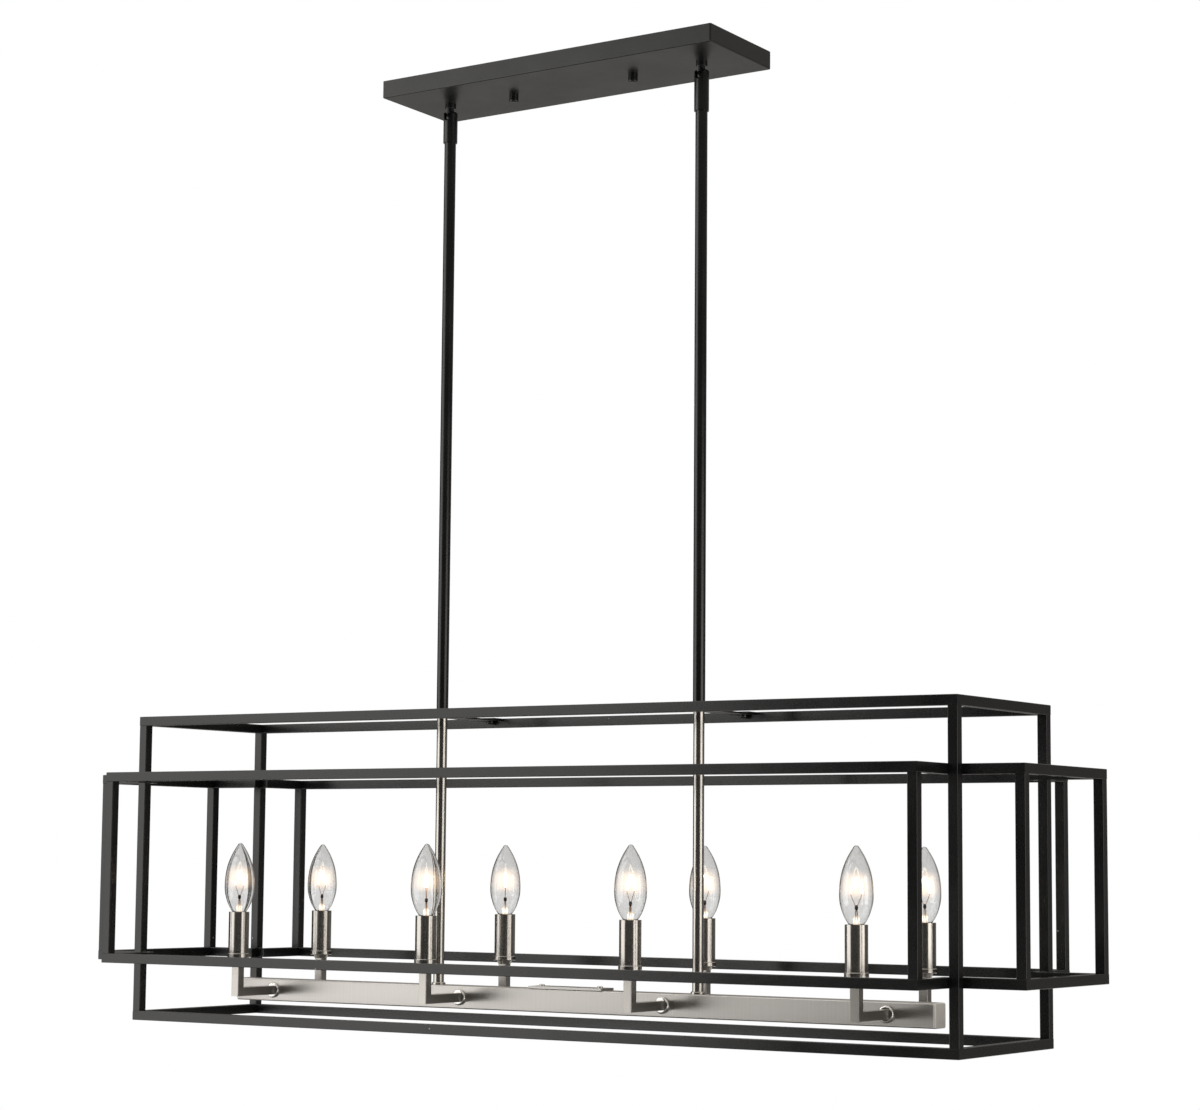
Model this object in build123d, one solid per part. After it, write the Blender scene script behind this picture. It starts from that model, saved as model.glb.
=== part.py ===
from build123d import *
import os

os.makedirs("parts", exist_ok=True)

# Linear island pendant, millimetres. Origin at the middle of the canopy's ceiling face,
# +X along the fixture, +Y to its back, +Z up; everything hangs below zero.

# ---- driving dimensions ----
DROP = 1015.0            # ceiling to the underside of the cage
CANOPY_LENGTH = 414.0
CANOPY_WIDTH = 122.0
CANOPY_HEIGHT = 19.0
SHEET = 1.2              # canopy sheet steel
CANOPY_EDGE = 1.5        # outside edge radius of the pan
CAP_NUT_SPACING = 152.0
CAP_NUT_D = 10.0
CAP_NUT_HEIGHT = 9.0
CAP_NUT_DOME = 2.0
STUD_D = 4.0             # M4 canopy studs
STUD_BEYOND_PAN = 6.0    # how far a stud stands out of the pan's floor
CROSSBAR_LENGTH = 190.0
CROSSBAR_WIDTH = 26.0
CROSSBAR_THICK = 2.0
BOX_SLOT_SPACING = 88.9  # outlet-box screws, 3-1/2 in apart
BOX_SLOT_LENGTH = 12.0
BOX_SLOT_D = 4.6
GROUND_SCREW_X = 22.0
GROUND_HEAD_D = 8.0
GROUND_HEAD_HEIGHT = 3.0

ROD_SPACING = 320.0      # the two down rods and the two stems below them
ROD_D = 12.5
ROD_WALL = 2.1
ROD_JOINT_UP = 639.0     # height of the rods' joint above the cage's underside
NIPPLE_D = 8.0           # threaded nipples inside the rods and stems
NIPPLE_BORE = 5.0
NIPPLE_LENGTH = 24.0
THREAD_CLEARANCE = 0.15
WASHER_D = 20.0
WASHER_THICK = 1.5
HEX_NUT_AF = 14.0
HEX_NUT_HEIGHT = 5.0

SLEEVE_D = 15.4          # hang-straight swivel
SLEEVE_LENGTH = 32.0
SLEEVE_SHOULDER = 2.2
SLEEVE_ABOVE_BALL = 6.0
MOUTH_D = 10.0
BALL_D = 11.6
BALL_CLEARANCE = 0.1
BALL_CAVITY_DEPTH = 11.0  # straight cavity under the ball's middle
SWIVEL_SLOT_WIDTH = 7.8
SWIVEL_SLOT_BELOW_BALL = 4.0
NECK_D = 7.0
NECK_BORE = 4.0
COLLAR_D = 12.0
COLLAR_HEIGHT = 5.0
BALL_BELOW_PAN = 14.5
SWIVEL_THREAD_D = 9.5
LIP_LEFT = 2.0           # ring under the left sleeve
LIP_RIGHT = 11.0         # coupling under the right sleeve

TUBE = 10.0              # square tube of the cage
TUBE_WALL = 1.0
TUBE_EDGE = 0.7
CAGE_LENGTH = 994.0
CAGE_WIDTH = 206.0
CAGE_HEIGHT = 330.0
BAND_REACH = 62.0        # how far the middle frames stand out from the cage
BAND_BOTTOM = 63.5       # above the cage's underside
BAND_HEIGHT = 203.5
CAP_THICK = 1.0

STRAP_WIDTH = 25.0       # flat bar from the front top rail to the back one
STRAP_THICK = 1.6
TAB_LENGTH = 16.0
TAB_THICK = 1.4
STRAP_SCREW_D = 4.0
STRAP_SCREW_HEAD_D = 8.4
STRAP_SCREW_HEAD = 3.6
STRAP_SCREW_INSET = 4.6  # from the rail to the screw's middle
STRAP_END_GAP = 0.3

STEM_D = 11.2
STEM_WALL = 1.45
FLANGE_D = 14.5
FLANGE_HEIGHT = 2.4

BAR_LENGTH = 850.6       # tube without its end caps
BAR_DEPTH = 22.0
BAR_HEIGHT = 24.0
BAR_WALL = 1.5
BAR_EDGE = 1.6
BAR_MIDDLE_UP = 33.0     # bar axis above the cage's underside
END_CAP_THICK = 1.5
END_CAP_BULGE = 1.2
END_PLUG_DEPTH = 6.0
END_PLUG_GAP = 0.2
COVER_LENGTH = 90.0
COVER_OFFSET = 8.0
COVER_THICK = 2.4
COVER_OVERHANG = 0.8
COVER_SCREW_SPACING = 71.5
COVER_SCREW_D = 3.0
COVER_SCREW_HEAD_D = 6.0
COVER_SCREW_HEAD = 1.8
SERVICE_LENGTH = 60.0    # opening in the bar's top under the cover
SERVICE_WIDTH = 12.0

ARM_TUBE = 9.5
ARM_WALL = 1.0
ARM_EDGE = 0.6
ARM_REACH = 71.0         # bar axis to candle axis
ARM_OUTER_SPACING = 752.0
ARM_INNER_SPACING = 250.0
ROSETTE_D = 17.0
ROSETTE_THICK = 3.0
ROSETTE_EDGE = 2.0
ARM_THREAD_D = 7.0
ARM_THREAD_BEYOND = 4.5
LOCK_NUT_AF = 11.0
LOCK_NUT_HEIGHT = 3.0

CANDLE_D = 22.0
CANDLE_WALL = 1.2
CANDLE_BOTTOM_UP = 69.4  # above the cage's underside
CANDLE_FOOT_TOP_D = 16.4  # dark cone between the lip and the arm
CANDLE_FOOT_LOW_D = 13.4
CANDLE_FOOT_HEIGHT = 3.8
CANDLE_HEIGHT = 49.0
CANDLE_LIP_D = 23.5
CANDLE_LIP_HEIGHT = 4.8
CANDLE_FLOOR = 1.5
SOCKET_D = 18.6
SOCKET_BELOW_TOP = 8.5   # candle top down to the socket's mouth
SOCKET_HEIGHT = 20.0
SOCKET_FLOOR = 4.0
SOCKET_POST_D = 10.5
SOCKET_BORE_CLEARANCE = 0.35
CANDLE_NIPPLE_BELOW = 8.0
CANDLE_NIPPLE_ABOVE = 8.0

BULB_TIP_ABOVE_CANDLE = 72.9  # clear torpedo lamp with a candelabra screw base
BULB_WALL = 0.8
BULB_WAIST_R = 6.4
BULB_FOOT = 1.2
BULB_OUTLINE = (         # radius and height above the candle's top
    (7.2, 0.0),
    (9.6, 2.6),
    (12.2, 7.8),
    (14.4, 14.4),
    (15.9, 21.6),
    (16.2, 28.0),
    (15.7, 38.0),
    (14.0, 48.0),
    (11.1, 57.5),
    (7.6, 66.2),
    (4.3, 70.9),
)
BULB_BASE_D = 11.7
BULB_BASE_HEIGHT = 15.0
BULB_BASE_BELOW_TOP = 7.0
BULB_CONTACT_D = 5.0
BULB_CONTACT_HEIGHT = 2.0
STEM_GLASS_D = 5.0
STEM_GLASS_HEIGHT = 28.0
LEAD_D = 0.8
LEAD_SPREAD = 5.6
LEAD_HEIGHT = 14.0
FILAMENT_D = 1.2

WIRE_D = 2.4
WIRE_PITCH = 4.0
SPLICE_D = 7.0
SPLICE_LENGTH = 16.0

SIDES = (-1, 1)

# ---- heights worked out from the ceiling ----
cage_bottom = -DROP
cage_top = cage_bottom + CAGE_HEIGHT
pan_floor = -CANOPY_HEIGHT
ball_z = pan_floor - BALL_BELOW_PAN
sleeve_top = ball_z + SLEEVE_ABOVE_BALL
sleeve_bottom = sleeve_top - SLEEVE_LENGTH
strap_top = cage_top - TAB_THICK
strap_bottom = strap_top - STRAP_THICK
bar_z = cage_bottom + BAR_MIDDLE_UP
bar_top = bar_z + BAR_HEIGHT / 2
bar_front = BAR_DEPTH / 2
candle_bottom = cage_bottom + CANDLE_BOTTOM_UP
candle_top = candle_bottom + CANDLE_HEIGHT
arm_top = candle_bottom - CANDLE_FOOT_HEIGHT
rod_x = ROD_SPACING / 2
rod_joint = cage_bottom + ROD_JOINT_UP
candle_xs = (-ARM_OUTER_SPACING / 2, -ARM_INNER_SPACING / 2, ARM_INNER_SPACING / 2, ARM_OUTER_SPACING / 2)
collar_heights = {-1: LIP_LEFT, 1: LIP_RIGHT}
sides_named = {-1: "left", 1: "right"}


def save(shape, name):
    export_step(shape, "parts/" + name + ".step")


def group(solids):
    return Compound(children=list(solids))


def disc(radius, bottom, top, x=0.0, y=0.0):
    return Pos(x, y, bottom) * extrude(Circle(radius), top - bottom)


def ring(outer, inner, bottom, top, x=0.0, y=0.0):
    return disc(outer, bottom, top, x, y) - disc(inner, bottom - 1, top + 1, x, y)


def block(x0, x1, y0, y1, z0, z1):
    solid = Box(x1 - x0, y1 - y0, z1 - z0)
    return Pos((x0 + x1) / 2, (y0 + y1) / 2, (z0 + z1) / 2) * solid


def hexagon(across_flats, bottom, top, bore, x=0.0, y=0.0):
    body = Pos(x, y, bottom) * extrude(RegularPolygon(across_flats / 2, 6, major_radius=False), top - bottom)
    return body - disc(bore, bottom - 1, top + 1, x, y)


def square_tube(start, end, side, wall, edge, closed=0.0):
    """A square tube along one axis; closed gives the thickness of a plate in its far end."""
    path = Vector(*end) - Vector(*start)
    upright = abs(path.Z) > abs(path.X) + abs(path.Y)
    turn = Vector(1, 0, 0) if upright else Vector(0, 0, 1)
    plane = Plane(origin=start, x_dir=turn, z_dir=path)
    outer = extrude(plane * RectangleRounded(side, side, edge), path.length)
    inner = extrude(plane * Rectangle(side - 2 * wall, side - 2 * wall), path.length - closed)
    return outer - inner


def mitre(solid, corner, inward_a, inward_b):
    """Cut a tube at 45 degrees where it meets its neighbour at an outer corner."""
    normal = Vector(*inward_a) - Vector(*inward_b)
    cut = split(solid, bisect_by=Plane(origin=corner, z_dir=normal), keep=Keep.TOP)
    return cut


# ---- canopy and what it holds ----
def make_canopy():
    outer = block(-CANOPY_LENGTH / 2, CANOPY_LENGTH / 2, -CANOPY_WIDTH / 2, CANOPY_WIDTH / 2, pan_floor, 0)
    rim = outer.edges().filter_by(lambda e: e.center().Z < -0.1)
    outer = fillet(rim, CANOPY_EDGE)
    inner = block(
        -CANOPY_LENGTH / 2 + SHEET,
        CANOPY_LENGTH / 2 - SHEET,
        -CANOPY_WIDTH / 2 + SHEET,
        CANOPY_WIDTH / 2 - SHEET,
        pan_floor + SHEET,
        1,
    )
    pan = outer - inner
    for side in SIDES:
        pan -= disc(SWIVEL_THREAD_D / 2 + THREAD_CLEARANCE, pan_floor - 1, 0, side * rod_x)
        pan -= disc(STUD_D / 2 + THREAD_CLEARANCE, pan_floor - 1, 0, side * CAP_NUT_SPACING / 2)
    save(pan, "canopy_pan")


def make_crossbar():
    bar = block(
        -CROSSBAR_LENGTH / 2, CROSSBAR_LENGTH / 2, -CROSSBAR_WIDTH / 2, CROSSBAR_WIDTH / 2, -CROSSBAR_THICK, 0
    )
    bar = fillet(bar.edges().filter_by(Axis.Z), CROSSBAR_WIDTH / 4)
    for side in SIDES:
        slot = extrude(SlotOverall(BOX_SLOT_LENGTH, BOX_SLOT_D), CROSSBAR_THICK + 2)
        bar -= Pos(side * BOX_SLOT_SPACING / 2, 0, -CROSSBAR_THICK - 1) * slot
        bar -= disc(STUD_D / 2 + THREAD_CLEARANCE / 2, -CROSSBAR_THICK - 1, 1, side * CAP_NUT_SPACING / 2)
    bar -= disc(STUD_D / 2 + THREAD_CLEARANCE / 2, -CROSSBAR_THICK - 1, 1, GROUND_SCREW_X)
    save(bar, "ceiling_crossbar")

    studs = []
    nuts = []
    for side in SIDES:
        x = side * CAP_NUT_SPACING / 2
        studs.append(disc(STUD_D / 2, pan_floor - STUD_BEYOND_PAN, 0, x))
        nut = disc(CAP_NUT_D / 2, pan_floor - CAP_NUT_HEIGHT, pan_floor, x)
        low = nut.edges().filter_by(GeomType.CIRCLE).sort_by(Axis.Z)[0]
        nut = fillet(low, CAP_NUT_DOME)
        hole = disc(STUD_D / 2 + THREAD_CLEARANCE / 2, pan_floor - STUD_BEYOND_PAN - 0.5, pan_floor + 1, x)
        nuts.append(nut - hole)
    save(group(studs), "canopy_studs")
    save(group(nuts), "cap_nuts")

    shank = disc(STUD_D / 2, -CROSSBAR_THICK, 0, GROUND_SCREW_X)
    head = disc(
        GROUND_HEAD_D / 2, -CROSSBAR_THICK - GROUND_HEAD_HEIGHT, -CROSSBAR_THICK, GROUND_SCREW_X
    )
    head -= block(
        GROUND_SCREW_X - GROUND_HEAD_D,
        GROUND_SCREW_X + GROUND_HEAD_D,
        -0.5,
        0.5,
        -CROSSBAR_THICK - GROUND_HEAD_HEIGHT - 1,
        -CROSSBAR_THICK - GROUND_HEAD_HEIGHT / 2,
    )
    save(shank + head, "ground_screw")


def make_swivels():
    washers = []
    thread_top = pan_floor + SHEET + WASHER_THICK + HEX_NUT_HEIGHT + 2
    for side in SIDES:
        x = side * rod_x
        collar_low = pan_floor - COLLAR_HEIGHT
        collar = disc(COLLAR_D / 2, collar_low, pan_floor, x)
        collar = fillet(collar.edges().filter_by(GeomType.CIRCLE).sort_by(Axis.Z)[0], 1.0)
        stud = collar + disc(SWIVEL_THREAD_D / 2, pan_floor, thread_top, x)
        stud += disc(NECK_D / 2, ball_z, collar_low, x)
        stud += Pos(x, 0, ball_z) * Sphere(BALL_D / 2)
        stud -= disc(NECK_BORE / 2, ball_z - BALL_D, thread_top + 1, x)
        save(stud, "swivel_ball_" + sides_named[side])

        nut_low = pan_floor + SHEET + WASHER_THICK
        bore = SWIVEL_THREAD_D / 2 + THREAD_CLEARANCE / 2
        washers.append(ring(WASHER_D / 2, bore, pan_floor + SHEET, nut_low, x))
        washers.append(hexagon(HEX_NUT_AF, nut_low, nut_low + HEX_NUT_HEIGHT, bore, x))
    save(group(washers), "swivel_nuts_and_washers")

    cavity = BALL_D / 2 + BALL_CLEARANCE
    for side in SIDES:
        x = side * rod_x
        sleeve = disc(SLEEVE_D / 2, sleeve_bottom, sleeve_top, x)
        sleeve = fillet(sleeve.edges().filter_by(GeomType.CIRCLE).sort_by(Axis.Z)[-1], SLEEVE_SHOULDER)
        sleeve -= Pos(x, 0, ball_z) * Sphere(cavity)
        sleeve -= disc(cavity, ball_z - BALL_CAVITY_DEPTH, ball_z, x)
        sleeve -= disc(MOUTH_D / 2, ball_z, sleeve_top + 1, x)
        sleeve -= disc(NIPPLE_D / 2 + THREAD_CLEARANCE, sleeve_bottom - 1, ball_z, x)
        slot_low = ball_z - SWIVEL_SLOT_BELOW_BALL + SWIVEL_SLOT_WIDTH / 2
        slot_round = Pos(x, 0, slot_low) * Rot(90, 0, 0) * extrude(Circle(SWIVEL_SLOT_WIDTH / 2), SLEEVE_D)
        sleeve -= slot_round
        sleeve -= block(
            x - SWIVEL_SLOT_WIDTH / 2, x + SWIVEL_SLOT_WIDTH / 2, -SLEEVE_D, 0, slot_low, sleeve_top + 1
        )
        save(sleeve, "swivel_sleeve_" + sides_named[side])


# ---- rods, stems and their joints ----
def make_rods():
    bore = ROD_D / 2 - ROD_WALL
    nipples = []
    collars = []
    for side in SIDES:
        x = side * rod_x
        top = sleeve_bottom - collar_heights[side]
        upper = ring(ROD_D / 2, bore, rod_joint, top, x)
        lower = ring(ROD_D / 2, bore, strap_top, rod_joint, x)
        if side > 0:
            groove = ring(ROD_D, ROD_D / 2 - 0.3, rod_joint - 0.4, rod_joint + 0.4, x)
            upper -= groove
            lower -= groove
        save(group([upper, lower]), "down_rod_" + sides_named[side])

        collars.append(ring(SLEEVE_D / 2, NIPPLE_D / 2 + THREAD_CLEARANCE, top, sleeve_bottom, x))
        joints = (
            (top - NIPPLE_LENGTH / 2, sleeve_bottom + NIPPLE_LENGTH / 2),
            (rod_joint - NIPPLE_LENGTH / 2, rod_joint + NIPPLE_LENGTH / 2),
            (strap_bottom - NIPPLE_LENGTH / 2, strap_top + NIPPLE_LENGTH / 2),
            (bar_top - BAR_WALL - HEX_NUT_HEIGHT, bar_top + NIPPLE_LENGTH / 2),
        )
        for low, high in joints:
            nipples.append(ring(NIPPLE_D / 2, NIPPLE_BORE / 2, low, high, x))
    save(group(collars), "swivel_collars")
    save(group(nipples), "threaded_nipples")


def make_straps():
    inner_y = CAGE_WIDTH / 2 - TUBE
    half = inner_y - STRAP_END_GAP
    tabs = []
    screws = []
    for side in SIDES:
        x = side * rod_x
        strap = block(x - STRAP_WIDTH / 2, x + STRAP_WIDTH / 2, -half, half, strap_bottom, strap_top)
        strap -= disc(NIPPLE_D / 2 + THREAD_CLEARANCE, strap_bottom - 1, strap_top + 1, x)
        for end in SIDES:
            y = end * (inner_y - STRAP_SCREW_INSET)
            strap -= disc(STRAP_SCREW_D / 2 + THREAD_CLEARANCE, strap_bottom - 1, strap_top + 1, x, y)
            y0, y1 = sorted((end * inner_y, end * (inner_y - TAB_LENGTH)))
            tab = block(x - STRAP_WIDTH / 2, x + STRAP_WIDTH / 2, y0, y1, strap_top, cage_top)
            tabs.append(tab - disc(STRAP_SCREW_D / 2 + THREAD_CLEARANCE, strap_top - 1, cage_top + 1, x, y))
            head = disc(STRAP_SCREW_HEAD_D / 2, strap_bottom - STRAP_SCREW_HEAD, strap_bottom, x, y)
            low = head.edges().filter_by(GeomType.CIRCLE).sort_by(Axis.Z)[0]
            head = fillet(low, STRAP_SCREW_HEAD * 0.6)
            screws.append(head + disc(STRAP_SCREW_D / 2, strap_bottom, cage_top, x, y))
        save(strap, "cross_strap_" + sides_named[side])
    save(group(tabs), "strap_tabs")
    save(group(screws), "strap_screws")


def make_stems():
    flanges = []
    nuts = []
    for side in SIDES:
        x = side * rod_x
        save(
            ring(STEM_D / 2, STEM_D / 2 - STEM_WALL, bar_top + FLANGE_HEIGHT, strap_bottom, x),
            "stem_" + sides_named[side],
        )
        flange = ring(FLANGE_D / 2, NIPPLE_D / 2 + THREAD_CLEARANCE, bar_top, bar_top + FLANGE_HEIGHT, x)
        rim = flange.edges().filter_by(GeomType.CIRCLE).sort_by(Axis.Z)[-2:].sort_by(SortBy.RADIUS)[-1]
        flanges.append(fillet(rim, 1.0))
        nut_top = bar_top - BAR_WALL
        bore = NIPPLE_D / 2 + THREAD_CLEARANCE
        nuts.append(hexagon(HEX_NUT_AF, nut_top - HEX_NUT_HEIGHT, nut_top, bore, x))
    save(group(flanges), "stem_flanges")
    save(group(nuts), "stem_lock_nuts")


# ---- square-tube cage ----
def cage_tube(start, end, closed=0.0):
    return square_tube(start, end, TUBE, TUBE_WALL, TUBE_EDGE, closed)


def flat_rectangle(x_half, y_half, z):
    """Four mitred tubes lying flat; x_half and y_half reach the outer faces."""
    t = TUBE / 2
    tubes = []
    for s in SIDES:
        long_tube = cage_tube((-x_half, s * (y_half - t), z), (x_half, s * (y_half - t), z))
        for e in SIDES:
            long_tube = mitre(long_tube, (e * x_half, s * y_half, z), (-e, 0, 0), (0, -s, 0))
        tubes.append(long_tube)
    for e in SIDES:
        end_tube = cage_tube((e * (x_half - t), -y_half, z), (e * (x_half - t), y_half, z))
        for s in SIDES:
            end_tube = mitre(end_tube, (e * x_half, s * y_half, z), (0, -s, 0), (-e, 0, 0))
        tubes.append(end_tube)
    return tubes


def make_tall_cage():
    t = TUBE / 2
    half_l = CAGE_LENGTH / 2
    half_w = CAGE_WIDTH / 2
    rails = flat_rectangle(half_l, half_w, cage_top - t) + flat_rectangle(half_l, half_w, cage_bottom + t)
    save(group(rails[0:2] + rails[4:6]), "cage_long_rails")
    save(group(rails[2:4] + rails[6:8]), "cage_end_rails")
    posts = []
    for e in SIDES:
        for s in SIDES:
            x = e * (half_l - t)
            y = s * (half_w - t)
            posts.append(cage_tube((x, y, cage_bottom + TUBE), (x, y, cage_top - TUBE)))
    save(group(posts), "cage_corner_posts")


def make_long_band(s, name):
    """Front or back middle frame: two U shapes and two posts, lapped inside the corner posts."""
    t = TUBE / 2
    x_half = CAGE_LENGTH / 2 - TUBE
    y_far = CAGE_WIDTH / 2 + BAND_REACH
    y_end = CAGE_WIDTH / 2 - TUBE
    low = cage_bottom + BAND_BOTTOM
    high = low + BAND_HEIGHT
    solids = []
    for z in (low + t, high - t):
        rail = cage_tube((-x_half, s * (y_far - t), z), (x_half, s * (y_far - t), z))
        for e in SIDES:
            corner = (e * x_half, s * y_far, z)
            rail = mitre(rail, corner, (-e, 0, 0), (0, -s, 0))
            x = e * (x_half - t)
            arm = cage_tube((x, s * y_far, z), (x, s * y_end, z), CAP_THICK)
            solids.append(mitre(arm, corner, (0, -s, 0), (-e, 0, 0)))
        solids.append(rail)
    for e in SIDES:
        x = e * (x_half - t)
        solids.append(cage_tube((x, s * (y_far - t), low + TUBE), (x, s * (y_far - t), high - TUBE)))
    save(group(solids), name)


def make_end_band(e, name):
    """Left or right middle frame, lapped inside the corner posts the other way."""
    t = TUBE / 2
    y_half = CAGE_WIDTH / 2 - TUBE
    x_far = CAGE_LENGTH / 2 + BAND_REACH
    x_end = CAGE_LENGTH / 2 - TUBE
    low = cage_bottom + BAND_BOTTOM
    high = low + BAND_HEIGHT
    solids = []
    for z in (low + t, high - t):
        rail = cage_tube((e * (x_far - t), -y_half, z), (e * (x_far - t), y_half, z))
        for s in SIDES:
            corner = (e * x_far, s * y_half, z)
            rail = mitre(rail, corner, (0, -s, 0), (-e, 0, 0))
            y = s * (y_half - t)
            arm = cage_tube((e * x_far, y, z), (e * x_end, y, z), CAP_THICK)
            solids.append(mitre(arm, corner, (-e, 0, 0), (0, -s, 0)))
        solids.append(rail)
    for s in SIDES:
        y = s * (y_half - t)
        solids.append(cage_tube((e * (x_far - t), y, low + TUBE), (e * (x_far - t), y, high - TUBE)))
    save(group(solids), name)


# ---- nickel bar, arms and candles ----
def make_bar():
    half = BAR_LENGTH / 2
    section = Plane.YZ * RectangleRounded(BAR_DEPTH, BAR_HEIGHT, BAR_EDGE)
    hollow = Plane.YZ * Rectangle(BAR_DEPTH - 2 * BAR_WALL, BAR_HEIGHT - 2 * BAR_WALL)
    bar = Pos(-half, 0, bar_z) * (extrude(section, BAR_LENGTH) - extrude(hollow, BAR_LENGTH))
    for side in SIDES:
        bar -= disc(NIPPLE_D / 2 + THREAD_CLEARANCE, bar_z, bar_top + 1, side * rod_x)
    for x in candle_xs:
        for s in SIDES:
            hole = Pos(x, 0, bar_z) * Rot(-90 * s, 0, 0) * extrude(
                Circle(ARM_THREAD_D / 2 + THREAD_CLEARANCE), BAR_DEPTH
            )
            bar -= hole
    x0 = COVER_OFFSET - SERVICE_LENGTH / 2
    bar -= block(x0, x0 + SERVICE_LENGTH, -SERVICE_WIDTH / 2, SERVICE_WIDTH / 2, bar_z, bar_top + 1)
    screws = []
    for side in SIDES:
        x = COVER_OFFSET + side * COVER_SCREW_SPACING / 2
        bar -= disc(COVER_SCREW_D / 2 + THREAD_CLEARANCE / 2, bar_z, bar_top + 1, x)
        head_low = bar_top + COVER_THICK
        head = disc(COVER_SCREW_HEAD_D / 2, head_low, head_low + COVER_SCREW_HEAD, x)
        rim = head.edges().filter_by(GeomType.CIRCLE).sort_by(Axis.Z)[-1]
        head = fillet(rim, COVER_SCREW_HEAD * 0.6)
        screws.append(head + disc(COVER_SCREW_D / 2, bar_top - BAR_WALL - 2, head_low, x))
    save(bar, "center_bar")
    save(group(screws), "cover_screws")

    wide = BAR_DEPTH / 2 + COVER_OVERHANG
    x0 = COVER_OFFSET - COVER_LENGTH / 2
    cover = block(x0, x0 + COVER_LENGTH, -wide, wide, bar_top, bar_top + COVER_THICK)
    cover = fillet(cover.edges().filter_by(Axis.Z), 0.8)
    for side in SIDES:
        x = COVER_OFFSET + side * COVER_SCREW_SPACING / 2
        cover -= disc(COVER_SCREW_D / 2 + THREAD_CLEARANCE, bar_top - 1, bar_top + COVER_THICK + 1, x)
    save(cover, "bar_cover")

    caps = []
    for e in SIDES:
        face = Plane.YZ * RectangleRounded(BAR_DEPTH, BAR_HEIGHT, BAR_EDGE)
        plate = Pos(e * half, 0, bar_z) * extrude(face, e * END_CAP_THICK)
        crown = Pos(e * (half + END_CAP_THICK), 0, bar_z) * extrude(face, e * END_CAP_BULGE, taper=40)
        gap = 2 * (BAR_WALL + END_PLUG_GAP)
        plug_face = Plane.YZ * Rectangle(BAR_DEPTH - gap, BAR_HEIGHT - gap)
        plug = Pos(e * (half - END_PLUG_DEPTH), 0, bar_z) * extrude(plug_face, e * END_PLUG_DEPTH)
        caps.append(plate + crown + plug)
    save(group(caps), "bar_end_caps")


def make_wiring():
    """Line and neutral conductors through the bar, spliced under the cover."""
    half = ARM_OUTER_SPACING / 2 + 12
    inner_low = bar_z - BAR_HEIGHT / 2 + BAR_WALL
    wires = []
    splices = []
    for s in SIDES:
        y = s * WIRE_PITCH / 2
        wire = Pos(-half, y, inner_low + WIRE_D / 2) * Rot(0, 90, 0) * extrude(Circle(WIRE_D / 2), 2 * half)
        wires.append(wire)
        lift = ((WIRE_D + SPLICE_D) ** 2 - WIRE_PITCH**2) ** 0.5 / 2
        z = inner_low + WIRE_D / 2 + lift
        x = COVER_OFFSET + s * SPLICE_LENGTH
        cone = Cone(SPLICE_D / 2, SPLICE_D / 3, SPLICE_LENGTH)
        splices.append(Pos(x, 0, z) * Rot(0, 90, 0) * cone)
    save(group(wires), "bar_conductors")
    save(group(splices), "splice_caps")


def make_arm(x, s):
    start = bar_front + ROSETTE_THICK
    t = ARM_TUBE / 2
    far = ARM_REACH + t
    level = square_tube((x, s * start, bar_z), (x, s * far, bar_z), ARM_TUBE, ARM_WALL, ARM_EDGE)
    rise = square_tube(
        (x, s * ARM_REACH, bar_z - t), (x, s * ARM_REACH, arm_top), ARM_TUBE, ARM_WALL, ARM_EDGE
    )
    corner = (x, s * far, bar_z - t)
    level = mitre(level, corner, (0, -s, 0), (0, 0, 1))
    rise = mitre(rise, corner, (0, 0, 1), (0, -s, 0))
    thread_start = bar_front - BAR_WALL - ARM_THREAD_BEYOND
    pin = Plane(origin=(x, s * thread_start, bar_z), z_dir=(0, s, 0))
    thread = extrude(pin * Circle(ARM_THREAD_D / 2), start + 1.5 - thread_start)
    root = extrude(pin.offset(start - thread_start) * Rectangle(ARM_TUBE - ARM_WALL, ARM_TUBE - ARM_WALL), 1.5)
    bore = extrude(pin.offset(-1) * Circle(NIPPLE_BORE / 2), start + 6 - thread_start)
    return level + rise + (thread + root) - bore


def make_arms():
    rosettes = []
    nuts = []
    for s, name in ((-1, "front"), (1, "back")):
        save(group(make_arm(x, s) for x in candle_xs), "arms_" + name)
        for x in candle_xs:
            face = Plane(origin=(x, s * bar_front, bar_z), z_dir=(0, s, 0))
            bore = ARM_THREAD_D / 2 + THREAD_CLEARANCE
            washer = extrude(face * Circle(ROSETTE_D / 2), ROSETTE_THICK)
            rim = washer.edges().filter_by(GeomType.CIRCLE).sort_by(Axis.Y)
            washer = fillet(rim[0] if s < 0 else rim[-1], ROSETTE_EDGE)
            rosettes.append(washer - extrude(face.offset(-1) * Circle(bore), ROSETTE_THICK + 2))
            inside = Plane(origin=(x, s * (bar_front - BAR_WALL), bar_z), z_dir=(0, -s, 0))
            hexa = RegularPolygon(LOCK_NUT_AF / 2, 6, major_radius=False)
            nut = extrude(inside * hexa, LOCK_NUT_HEIGHT)
            nuts.append(nut - extrude(inside.offset(-1) * Circle(bore), LOCK_NUT_HEIGHT + 2))
    save(group(rosettes), "arm_rosettes")
    save(group(nuts), "arm_lock_nuts")


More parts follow.
